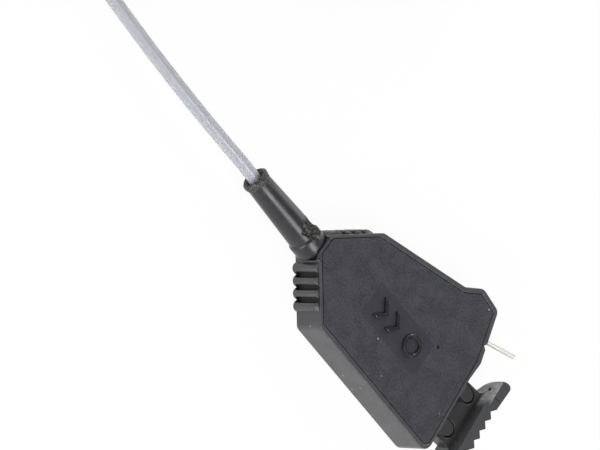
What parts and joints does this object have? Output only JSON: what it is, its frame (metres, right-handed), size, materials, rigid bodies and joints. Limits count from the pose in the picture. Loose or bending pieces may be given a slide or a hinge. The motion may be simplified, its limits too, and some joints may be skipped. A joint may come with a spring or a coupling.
{
  "type": "electric cable shutter release",
  "caption": "Flat angular camera plug with slim contact pins, a ridged T-bar spring latch and a tapered boot, joined by a tied coil of cord to a small hand switch with a push button.",
  "frame": {"origin": "on the plug's back face, below the cord's axis, where the line of the cord and the square to the contact pins through the plug's middle cross", "axes": "+X along the contact pins, out of the plug; +Z out of the plug's broad front face, away from the surface that it lies on"},
  "size_m": [0.1365, 0.1041, 0.015],
  "materials": {
    "shell": "satin moulded black plastic",
    "cover": "fine spark-textured dark grey plastic",
    "lever": "satin moulded black plastic",
    "boot": "smooth glossy soft plastic",
    "cord": "light grey flexible jacket",
    "tie": "soft black strap",
    "pin": "bright plated metal",
    "steel": "bright steel",
    "tin": "tinned metal",
    "contact": "sprung brass",
    "insulator": "natural insulating plastic",
    "wire_red": "red insulation",
    "wire_white": "white insulation",
    "button": "satin moulded dark grey plastic"
  },
  "bodies": {
    "release": {"plug_base": "shell", "plug_cover": "cover", "plug_screws": "steel", "cord_boot": "boot", "cord_ferrule": "tin", "pin_block": "insulator", "contact_pin_front": "pin", "contact_pin_rear": "pin", "plug_wire_red": "wire_red", "plug_wire_white": "wire_white", "latch_pivot": "steel", "latch_spring": "steel", "cord_lead": "cord", "cord_coil": "cord", "cord_tie": "tie", "cord_tail": "cord", "switch_base": "shell", "switch_cover": "cover", "switch_screws": "steel", "switch_boot": "boot", "switch_ferrule": "tin", "button_spring": "steel", "contact_block": "insulator", "fixed_contact_left": "contact", "fixed_contact_right": "contact", "switch_wire_red": "wire_red", "switch_wire_white": "wire_white"},
    "latch": {"latch_lever": "lever"},
    "button": {"release_button": "button", "contact_bridge": "contact"}
  },
  "joints": [
    {"name": "latch_hinge", "type": "hinge", "parent": "release", "child": "latch", "pos_m": [0.00335, -0.0025, 0.0038], "axis": [0, 0, -1], "range_deg": [0, 8], "stiffness_Nm_per_rad": 0.05, "springref_deg": -8.59, "deforming": ["latch_spring"]},
    {"name": "button_slide", "type": "slide", "parent": "release", "child": "button", "axis": [0, 0, -1], "range_m": [0, 0.0015], "stiffness_N_per_m": 500, "springref_m": -0.001, "deforming": ["button_spring"]}
  ]
}
